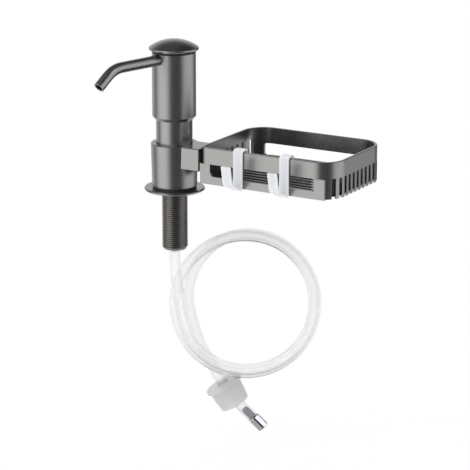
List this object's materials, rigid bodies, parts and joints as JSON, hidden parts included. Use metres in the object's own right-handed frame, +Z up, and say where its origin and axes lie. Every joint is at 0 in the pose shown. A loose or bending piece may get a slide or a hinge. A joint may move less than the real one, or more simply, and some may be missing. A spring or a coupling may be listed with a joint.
{
  "type": "soap pump caddy",
  "caption": "Deck-mounted soap pump with a curved spout, a swivelling rimmed basket with clear hooks on its collar, and a coiled suction tube with bottle stopper and foot valve.",
  "frame": {"origin": "on the pump's axis in the plane of the deck, at the underside of the flange", "axes": "+Z up along the pump, +X along the basket's front wall away from the pump, -Y towards the front"},
  "size_m": [0.2014, 0.1882, 0.392],
  "materials": {
    "gunmetal": "satin gunmetal grey",
    "dark_thread": "satin dark grey with a fine thread",
    "black_nylon": "matt",
    "pump_plastic": "matt",
    "seal_rubber": "matt",
    "steel": "plain",
    "clear_hook": "clear, glossy",
    "clear_tube": "clear, glossy",
    "stopper_grey": "soft, slightly translucent",
    "chrome": "polished"
  },
  "bodies": {
    "deck_base": {"base_flange": "gunmetal", "threaded_shank": "dark_thread", "neck_tube": "gunmetal", "swivel_bush": "black_nylon", "pump_barrel": "pump_plastic", "stem_gland": "pump_plastic", "inlet_fitting": "pump_plastic", "inlet_cage": "pump_plastic", "return_spring": "steel", "tube_lead": "clear_tube", "tube_coil": "clear_tube", "tube_tail": "clear_tube", "foot_valve_body": "chrome", "foot_valve_barb": "chrome"},
    "plunger": {"pump_stem": "steel", "piston": "pump_plastic", "piston_seal": "seal_rubber"},
    "pump_head": {"head_sleeve": "gunmetal", "head_core": "gunmetal", "dome_cap": "gunmetal", "spout": "gunmetal"},
    "caddy": {"caddy_collar": "gunmetal", "basket_frame": "gunmetal", "louver_panel": "gunmetal", "drain_tray": "gunmetal", "basket_screws": "steel"},
    "left_hook": {"hook_left": "clear_hook"},
    "right_hook": {"hook_right": "clear_hook"},
    "inlet_check": {"inlet_ball": "steel"},
    "foot_check": {"foot_valve_ball": "steel"},
    "stopper": {"bottle_stopper": "stopper_grey"}
  },
  "joints": [
    {"name": "pump_press", "type": "slide", "parent": "deck_base", "child": "plunger", "axis": [0, 0, -1], "range_m": [0, 0.02], "stiffness_N_per_m": 400, "springref_m": -0.012, "deforming": ["return_spring"]},
    {"name": "head_swivel", "type": "hinge", "parent": "plunger", "child": "pump_head", "pos_m": [0, 0, 0.12], "axis": [0, 0, 1], "continuous": true},
    {"name": "caddy_swivel", "type": "hinge", "parent": "deck_base", "child": "caddy", "pos_m": [0, 0, 0.024], "axis": [0, 0, 1], "continuous": true},
    {"name": "left_hook_slide", "type": "slide", "parent": "caddy", "child": "left_hook", "axis": [1, 0, 0], "range_m": [-0.026, 0.017]},
    {"name": "right_hook_slide", "type": "slide", "parent": "caddy", "child": "right_hook", "axis": [1, 0, 0], "range_m": [-0.017, 0.021]},
    {"name": "inlet_ball_lift", "type": "slide", "parent": "deck_base", "child": "inlet_check", "axis": [0, 0, 1], "range_m": [0, 0.0078]},
    {"name": "foot_ball_lift", "type": "slide", "parent": "deck_base", "child": "foot_check", "axis": [-0.6315, -0.3142, 0.7089], "range_m": [0, 0.0032]},
    {"name": "stopper_slide", "type": "slide", "parent": "deck_base", "child": "stopper", "axis": [-0.4544, -0.212, 0.8652], "range_m": [0, 0.005]}
  ]
}
